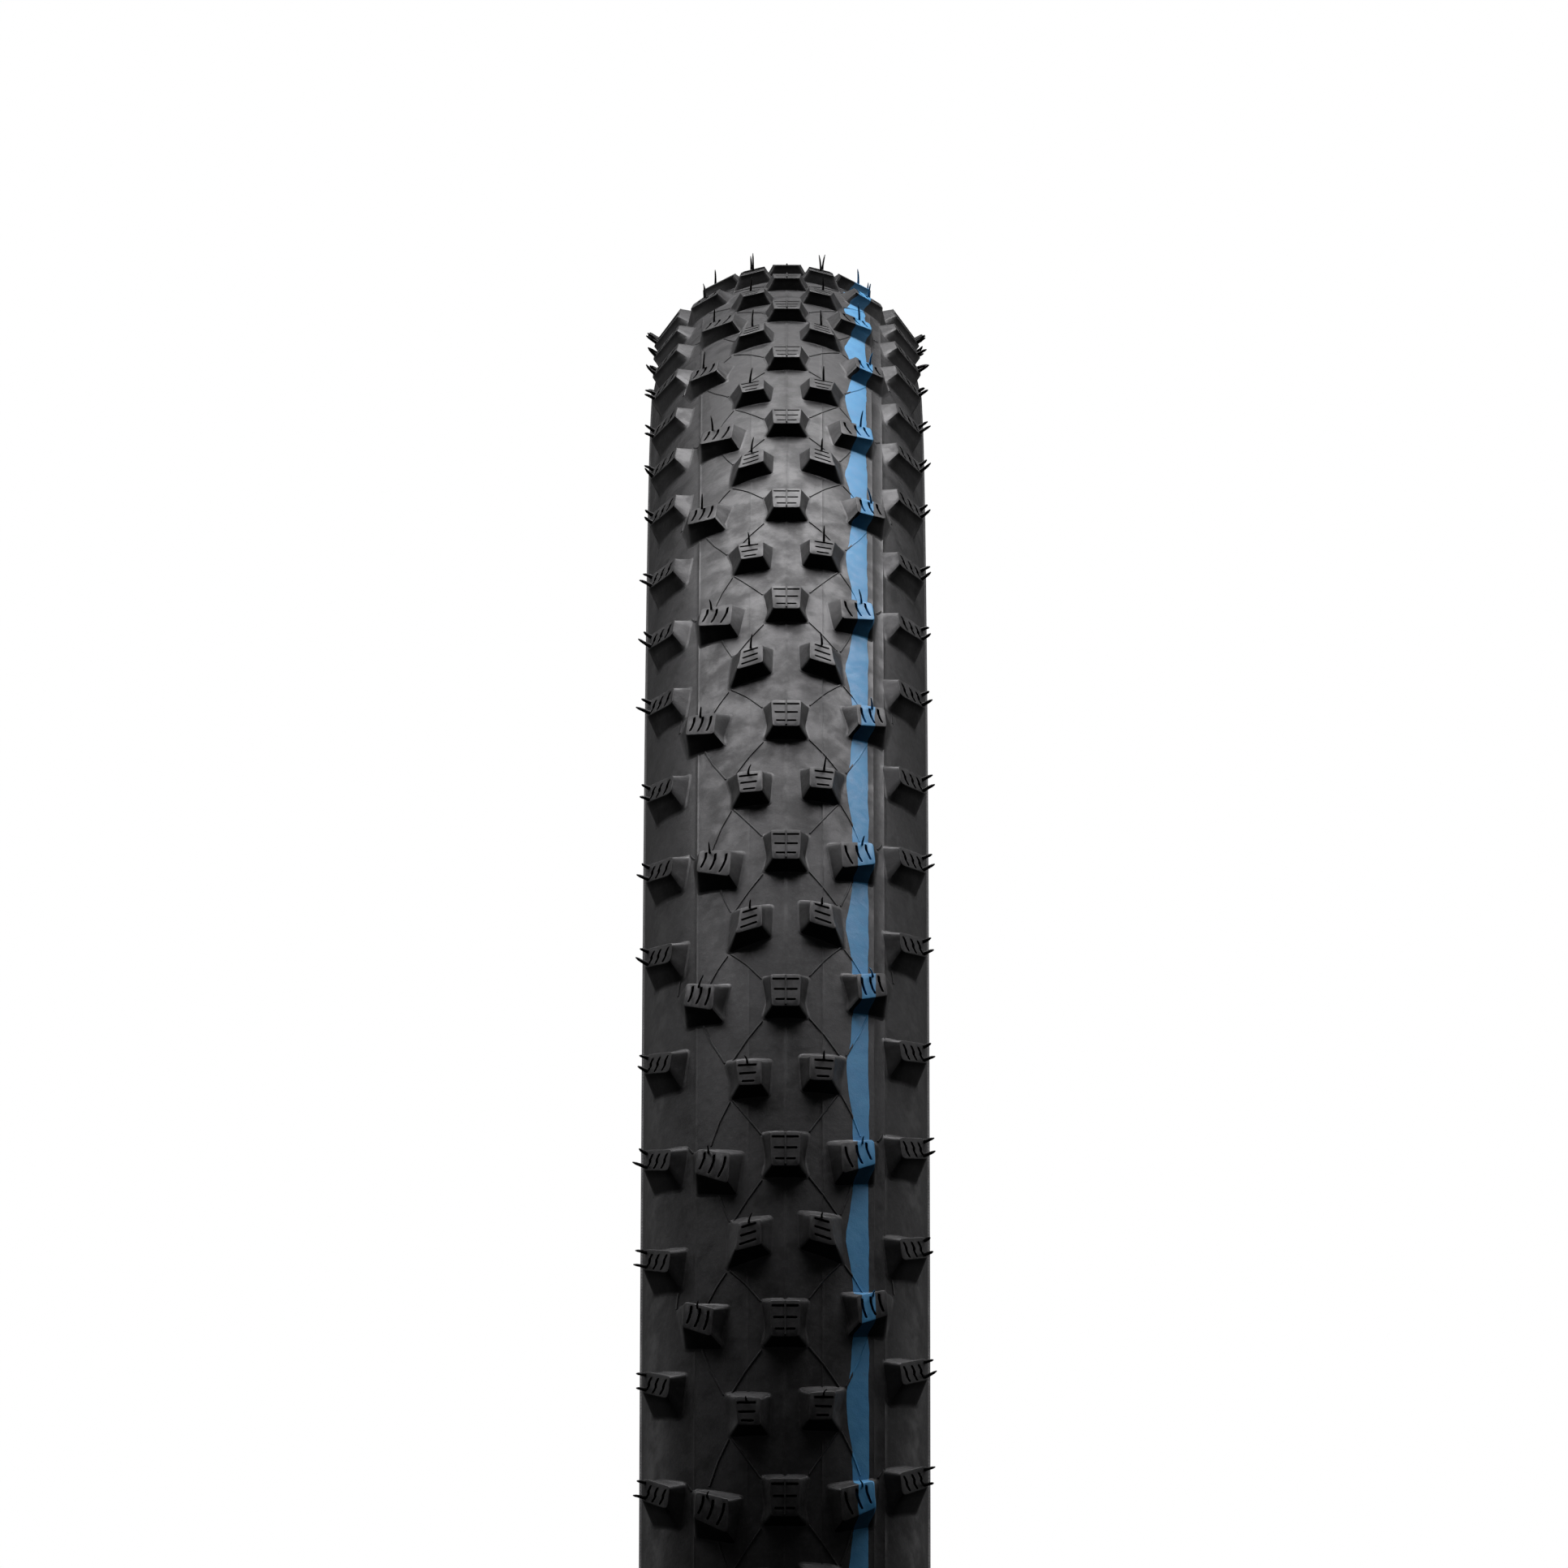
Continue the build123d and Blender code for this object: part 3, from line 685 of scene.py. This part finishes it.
def sidewall_rubber():
    """Thin black rubber over the cords, whose crossed lines just show through."""
    shade = Shade("sidewall_rubber")
    colour = rubber_grain(shade, grey(0.0115), grey(0.021, 0.03))
    dust = shade.ramp(shade.noise(0.03, 5.0, 0.65), 0.5, 0.8)
    shade.set("Base Color", shade.blend(shade.math("MULTIPLY", dust, 0.4), colour,
                                        (0.043, 0.040, 0.036, 1.0)))
    cords = shade.math("MAXIMUM", shade.threads(3200, 9.0), shade.threads(3200, -9.0))
    shade.bump(cords, 0.045)
    return shade.material


def chafer_rubber():
    """Square-woven chafer cloth soaked in rubber."""
    shade = Shade("chafer_rubber")
    warp, weft = shade.threads(4400, 0.0), shade.threads(0, 12.5)
    cloud = shade.ramp(shade.noise(0.08, 4.0), 0.3, 0.7)
    colour = shade.blend(cloud, grey(0.014), grey(0.027, -0.03))
    weave = shade.math("MULTIPLY", warp, weft)
    colour = shade.blend(shade.math("MULTIPLY", weave, 0.5), colour, grey(0.045, -0.04))
    shade.set("Base Color", colour)
    shade.set("Roughness", shade.ramp(weave, 0.0, 1.0, 0.75, 0.58))
    shade.bump(weave, 0.07)
    shade.bump(shade.noise(1.2, 4.0), 0.04)
    return shade.material


def liner_rubber():
    """Smooth inside rubber with the diamond print of the moulding bladder."""
    shade = Shade("liner_rubber")
    cloud = shade.ramp(shade.noise(0.035, 5.0), 0.3, 0.7)
    colour = shade.blend(cloud, grey(0.019, 0.05), grey(0.035, 0.02))
    talc = shade.ramp(shade.noise(0.5, 6.0, 0.7), 0.52, 0.75)
    shade.set("Base Color", shade.blend(shade.math("MULTIPLY", talc, 0.4), colour, grey(0.12)))
    shade.set("Roughness", shade.ramp(talc, 0.0, 1.0, 0.42, 0.7))
    diamonds = shade.math("MULTIPLY", shade.threads(480, 1.31), shade.threads(480, -1.31))
    shade.bump(shade.ramp(diamonds, 0.02, 0.12), 0.12)
    shade.bump(shade.noise(1.5, 4.0), 0.04)
    return shade.material


def corded(name, per_turn, per_mm, dark, light, crossed=False):
    """A layer of rubbered cords."""
    shade = Shade(name, roughness=0.7)
    cords = shade.threads(per_turn, per_mm)
    if crossed:
        cords = shade.math("MAXIMUM", cords, shade.threads(per_turn, -per_mm))
    worn = shade.ramp(shade.noise(0.8, 5.0, 0.7), 0.2, 0.7, 0.5, 1.0)
    fray = shade.math("MULTIPLY", cords, worn)
    shade.set("Base Color", shade.blend(fray, dark, light))
    shade.set("Roughness", shade.ramp(shade.noise(0.4, 4.0), 0.3, 0.7, 0.62, 0.8))
    shade.bump(cords, 0.12)
    shade.bump(shade.noise(2.5, 3.0), 0.03)
    return shade.material


def filler_rubber():
    """Hard black rubber over the bead core."""
    shade = Shade("filler_rubber")
    shade.set("Base Color", rubber_grain(shade, grey(0.012), grey(0.03)))
    return shade.material


def bead_cord():
    """Twisted aramid yarn."""
    shade = Shade("bead_cord", roughness=0.55)
    strands = shade.threads(1200, 2.2)
    tint = shade.ramp(shade.noise(0.2, 4.0), 0.3, 0.7)
    colour = shade.blend(tint, (0.46, 0.33, 0.12, 1.0), (0.58, 0.44, 0.2, 1.0))
    shade.set("Base Color", shade.blend(strands, (0.2, 0.14, 0.05, 1.0), colour))
    shade.set("Roughness", shade.ramp(strands, 0.0, 1.0, 0.7, 0.45))
    shade.bump(strands, 0.2)
    return shade.material


TREAD = tread_rubber()
STRIPE = stripe_rubber()
SIDEWALL = sidewall_rubber()
CHAFER = chafer_rubber()
LINER = liner_rubber()
FILLER = filler_rubber()
BEAD = bead_cord()
FABRIC = corded("sidewall_fabric", 4600, 12.5, grey(0.02), (0.09, 0.085, 0.075, 1.0), True)
PLY = corded("casing_ply", 3300, 9.0, grey(0.016), (0.11, 0.095, 0.07, 1.0))
PLY_CROSSED = corded("casing_ply_crossed", 3300, -9.0, grey(0.016), (0.11, 0.095, 0.07, 1.0))
BELT = corded("belt_fabric", 5200, 14.0, (0.14, 0.07, 0.03, 1.0), (0.5, 0.27, 0.09, 1.0), True)


# ---------------------------------------------------------------- pieces
def add_piece(name, points, faces, material, slot, nodes=(), sharp=SMOOTH_BELOW):
    """A piece on the tire's one body, standing for the CAD nodes it is given."""
    thing = make_object(name, points, faces, material, sharp)
    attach(thing, "root")
    if nodes:
        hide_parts(*nodes)
    return thing


# The tread skin: its outline carries the fine circumferential mould lines.
half_edge = math.radians(TREAD_EDGE) * SKIN
stations = list(np.linspace(-half_edge, half_edge, 61))
for width, half, height in MOULD_LINES:
    middle = SKIN * math.asin(width / SKIN)
    stations = [s for s in stations if abs(s - middle) > half * 1.6]
    stations += [middle + half * t for t in LINE_STATIONS]
groove_start, groove_end = (SKIN * math.asin(w / SKIN) for w in (STRIPE_FROM, STRIPE_TO))
stations = [s for s in stations if not groove_start - 0.3 < s < groove_end + 0.3]
stations += [groove_start - 0.02, groove_start, groove_end, groove_end + 0.02]     # sharp edges
stations.sort()
outside = []
for s in stations:
    offset = SKIN
    for width, half, height in MOULD_LINES:
        away = abs(s - SKIN * math.asin(width / SKIN)) / half
        offset += height * max(0.0, 1 - away) ** 0.5 if away < 1 else 0.0
    if groove_start - 0.01 < s < groove_end + 0.01:
        offset = SKIN - STRIPE_DEPTH
    outside.append(section_point(offset, s / SKIN))
inside = arc_profile(BASE_INNER, TREAD_EDGE, -TREAD_EDGE, 40)
tread_points, tread_faces = lathe(np.concatenate([np.array(outside), inside]),
                                RING_SEGMENTS)
add_piece("tread_skin", tread_points, tread_faces, TREAD, "tread_rubber", ["tread_base"])

# The blue stripe: a thin band whose edges wander a little along the tread.
turns = np.linspace(0, 2 * math.pi, STRIPE_SEGMENTS, endpoint=False)
edges = []
for base in (STRIPE_FROM, STRIPE_TO):
    wobble = np.zeros(STRIPE_SEGMENTS)
    for waves in STRIPE_WAVES:
        wobble += rng.uniform(0.3, 1.0) * np.sin(waves * turns + rng.uniform(0, 6.28))
    edges.append(base + STRIPE_WANDER * wobble)
arcs = (turns - FIRST_ROW) * OUTER_RADIUS - STRIPE_FROM * ROW_SKEW
for middle, reach in STRIPE_BULGES:
    away = (arcs - middle + ROW_PITCH) % (2 * ROW_PITCH) - ROW_PITCH
    edges[0] -= BULGE_DEPTH * np.exp(-((away / reach) ** 2))
low_edge, high_edge = np.minimum(edges[0], STRIPE_FROM), np.maximum(edges[1], STRIPE_TO)
bands = []
for t in np.linspace(0, 1, 7):
    width = low_edge + (high_edge - low_edge) * t
    rise = STRIPE_RISE if 0 < t < 1 else STRIPE_LIP
    bands.append(np.stack([skin_radius(width, rise), width], axis=-1))
root_inset, root_depth = STRIPE_ROOT
for width in (high_edge - root_inset, low_edge + root_inset):
    bands.append(np.stack([skin_radius(width, -root_depth), width], axis=-1))
stripe_points, stripe_faces = lathe(np.stack(bands, axis=1), STRIPE_SEGMENTS)
add_piece("stripe_band", stripe_points, stripe_faces, STRIPE, "stripe_rubber",
          ["marking_stripe"])

# Tread blocks.
center = siped_block("center", CENTER_TOP, CENTER_FOOT, CENTER_SIPES)
square = siped_block("square", SQUARE_TOP, SQUARE_FOOT, SQUARE_SIPES)
slanted = siped_block("slanted", SLANTED_TOP, SLANTED_FOOT, SLANTED_SIPES)
inboard = siped_block("inboard", INBOARD_TOP, INBOARD_FOOT, INBOARD_SIPES)
outboard = siped_block("outboard", OUTBOARD_TOP, OUTBOARD_FOOT, OUTBOARD_SIPES)
side_block = siped_block("side", SIDE_TOP, SIDE_FOOT, SIDE_SIPES)

add_piece("center_knobs", *around(*center, 1, 0, (0, ROW_PITCH)), TREAD, "tread_rubber",
          ["center_blocks"])
for side, word in ((1, "right"), (-1, "left")):
    transition = merged(around(*square, side, TRANSITION_AT),
                        around(*slanted, side, TRANSITION_AT, (ROW_PITCH,)))
    add_piece(f"{word}_transition_knobs", *transition, TREAD, "tread_rubber",
              [f"{word}_transition_blocks"])
    intermediate = merged(around(*inboard, side, INBOARD_AT),
                          around(*outboard, side, OUTBOARD_AT, (ROW_PITCH,)))
    add_piece(f"{word}_intermediate_knobs", *intermediate, TREAD, "tread_rubber",
              [f"{word}_intermediate_blocks"])
    add_piece(f"{word}_side_knobs", *around(*side_block, side, SIDE_AT, SIDE_ARCS), TREAD,
              "tread_rubber", [f"{word}_side_blocks"])

# Fine moulded ridges, and the flash along the centre blocks.
ridge_parts = []
for side in (1, -1):
    for path in RIDGES:
        skewed = [(side * width, arc + side * width * ROW_SKEW) for width, arc in path]
        ridge_parts.append(around(*ridge(skewed), 1, 0))
for lead in (0.0, ROW_PITCH):
    flash = ridge([(0.0, lead + FLASH_FROM), (0.0, lead + FLASH_TO)], FLASH_HALF, FLASH_HEIGHT,
                  BLOCK_HEIGHT)
    ridge_parts.append(around(*flash, 1, 0))
add_piece("tread_ridges", *merged(*ridge_parts), TREAD, "tread_rubber")

# Moulding hairs on the blocks' tops and corners.
for side, word in ((1, "right"), (-1, "left")):
    hairs = []
    for unit in range(UNITS):
        for top, reference, lead, (width, arc), length, thick in HAIRS:
            place_arc = lead + arc + side * reference * ROW_SKEW
            root = to_space(side * width, place_arc, np.array([top_plane(top)(width)]))[0]
            lean = 0.0 if width < SHOULDER_HAIRS_FROM else SHOULDER_LEAN
            angle = FIRST_ROW + place_arc / OUTER_RADIUS
            outward = np.array([math.cos(angle) * math.cos(lean), side * math.sin(lean),
                                math.sin(angle) * math.cos(lean)])
            wander = rng.normal(0, 0.05, 3)
            bend = rng.normal(0, 0.11, 3)
            scale = rng.uniform(0.8, 1.1)
            points, faces = hair(root, outward + wander, length * scale, thick, bend)
            hairs.append((turned(points, unit * UNIT_TURN), faces))
    add_piece(f"{word}_vent_hairs", *merged(*hairs), TREAD, "tread_rubber",
              [f"{word}_vent_spews"], sharp=60.0)

# Sidewalls, with a few moulded lines and the rim line above the bead.
angles = list(np.linspace(TREAD_EDGE, BEAD_RAY, 50))
for middle, half, height in SIDEWALL_RIBS:
    reach = math.degrees(half / SKIN)
    angles = [a for a in angles if abs(a - middle) > reach * 1.7]
    angles += [middle + reach * t for t in RIB_STATIONS]
angles.sort()
sidewall_outside = []
for angle in angles:
    offset = SKIN
    for middle, half, height in SIDEWALL_RIBS:
        away = abs(angle - middle) / math.degrees(half / SKIN)
        offset += height * 0.5 * (1 + math.cos(math.pi * min(away / 1.2, 1.0)))
    sidewall_outside.append(section_point(offset, math.radians(angle)))
sidewall_inside = arc_profile(FABRIC_OUTER, BEAD_RAY, TREAD_EDGE, 24)
sidewall = np.concatenate([np.array(sidewall_outside), sidewall_inside])

# The bead, wrapped in its chafer cloth.
bead_turn = math.radians(BEAD_RAY)
chafer_outside = eased([section_point(LINER_INNER, bead_turn), *CHAFER_OUTSIDE,
                        section_point(SKIN, bead_turn)])
chafer_inside = eased([section_point(BASE_INNER, bead_turn), *CHAFER_INSIDE,
                       section_point(LINER_OUTER, bead_turn)], 2)
chafer = np.concatenate([chafer_outside, chafer_inside])

mirror = np.array([1.0, -1.0])
for side, word in ((1, "right"), (-1, "left")):
    flip = mirror if side < 0 else 1.0
    add_piece(f"{word}_sidewall_skin", *lathe(sidewall * flip, RING_SEGMENTS), SIDEWALL,
              "sidewall_rubber", [f"{word}_sidewall_rubber"])
    add_piece(f"{word}_bead_wrap", *lathe(chafer * flip, BEAD_SEGMENTS), CHAFER,
              "chafer_rubber", [f"{word}_chafer_strip"], sharp=50.0)

# The inside of the tire.
liner = np.concatenate([
    arc_profile(LINER_INNER, -BEAD_RAY, BEAD_RAY, 110),
    arc_profile(LINER_OUTER, BEAD_RAY, -BEAD_RAY, 60),
])
add_piece("liner_skin", *lathe(liner, RING_SEGMENTS), LINER, "liner_rubber", ["inner_liner"])

# Inner layers keep their CAD shape.
CAD_FINISH = {
    "inner_casing_ply": PLY,
    "outer_casing_ply": PLY_CROSSED,
    "puncture_belt": BELT,
}
for word in ("left", "right"):
    CAD_FINISH[f"{word}_bead_core"] = BEAD
    CAD_FINISH[f"{word}_bead_filler"] = FILLER
    CAD_FINISH[f"{word}_ply_turnup"] = PLY
    CAD_FINISH[f"{word}_sidewall_fabric"] = FABRIC
for name, material in CAD_FINISH.items():
    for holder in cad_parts[name].material_slots:
        holder.material = material

# ---------------------------------------------------------------- floor, light and camera
floor_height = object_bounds()[0].z - FLOOR_GAP
floor_mesh = bmesh.new()
for x in (-FLOOR_REACH, FLOOR_REACH):
    for y in (-FLOOR_REACH, FLOOR_REACH):
        floor_mesh.verts.new((x, y, floor_height))
floor_mesh.verts.ensure_lookup_table()
floor_mesh.faces.new([floor_mesh.verts[n] for n in (0, 2, 3, 1)])
floor_data = bpy.data.meshes.new("floor")
floor_mesh.to_mesh(floor_data)
floor_mesh.free()
floor = bpy.data.objects.new("floor", floor_data)
bpy.context.scene.collection.objects.link(floor)
floor_shade = Shade("pale_floor", roughness=0.8, specular=0.2)
floor_tone = floor_shade.ramp(floor_shade.noise(0.004, 4.0), 0.3, 0.7, 0.9, 1.0)
floor_shade.set("Base Color", floor_shade.blend(floor_tone, grey(0.60), grey(0.66)))
floor_shade.bump(floor_shade.noise(0.3, 4.0), 0.1)
floor_shade.set("Emission Color", floor_tone)
floor_shade.surface.inputs["Emission Strength"].default_value = FLOOR_GLOW
floor_data.materials.append(floor_shade.material)
floor.visible_diffuse = False
floor.visible_glossy = False


def softbox(name, place, aim, size, power, spread=180.0):
    """A rectangular area light that the camera doesn't see."""
    lamp = bpy.data.lights.new(name, "AREA")
    lamp.shape = "RECTANGLE"
    lamp.size, lamp.size_y = size
    lamp.energy = power
    lamp.spread = math.radians(spread)
    thing = bpy.data.objects.new(name, lamp)
    bpy.context.scene.collection.objects.link(thing)
    thing.location = place
    thing.rotation_euler = (Vector(aim) - Vector(place)).to_track_quat("-Z", "X").to_euler()
    thing.visible_camera = False
    return thing


def on_side(place, side):
    """A right-hand place, or its mirror image for the left-hand side."""
    x, y, z = place
    return (x, side * y, z)


CENTRE = (0.0, 0.0, 0.0)
softbox("overhead", KEY_PLACE, KEY_AIM, KEY_SIZE, KEY_POWER, KEY_SPREAD)
for side, word in ((-1, "left"), (1, "right")):
    softbox(f"{word}_fill", on_side(FILL_PLACE, side), CENTRE, FILL_SIZE, FILL_POWER)

# The sidewalls and the inside get light of their own, so that they don't sink into black.
shaded = bpy.data.collections.new("shaded_pieces")
for name in ("left_sidewall_skin", "right_sidewall_skin", "left_bead_wrap", "right_bead_wrap",
             "liner_skin"):
    shaded.objects.link(bpy.data.objects[name])
for side, word in ((1, "right"), (-1, "left")):
    lamp = softbox(f"{word}_side", on_side(SIDE_LAMP_PLACE, side), CENTRE, SIDE_LAMP_SIZE,
                   SIDE_LAMP_POWER)
    lamp.light_linking.receiver_collection = shaded

world = bpy.data.worlds.new("studio")
bpy.context.scene.world = world
world.use_nodes = True
backdrop = world.node_tree.nodes["Background"]
backdrop.inputs["Color"].default_value = (1.0, 1.0, 1.0, 1.0)
seen = world.node_tree.nodes.new("ShaderNodeLightPath")
level = world.node_tree.nodes.new("ShaderNodeMapRange")
level.inputs["To Min"].default_value = WORLD_LIGHT
level.inputs["To Max"].default_value = WORLD_SEEN
world.node_tree.links.new(seen.outputs["Is Camera Ray"], level.inputs["Value"])
world.node_tree.links.new(level.outputs[0], backdrop.inputs["Strength"])

lens = bpy.data.cameras.new("camera")
lens.sensor_width = 36.0
lens.lens = CAMERA_LENS
lens.clip_end = 100.0
camera = bpy.data.objects.new("camera", lens)
bpy.context.scene.collection.objects.link(camera)
camera.location = (CAMERA_DISTANCE * math.cos(CAMERA_RISE), CAMERA_ASIDE,
                   CAMERA_DISTANCE * math.sin(CAMERA_RISE))
camera.rotation_euler = (math.pi / 2, CAMERA_ROLL, math.pi / 2)
bpy.context.scene.camera = camera
bpy.context.scene.view_settings.view_transform = "Standard"
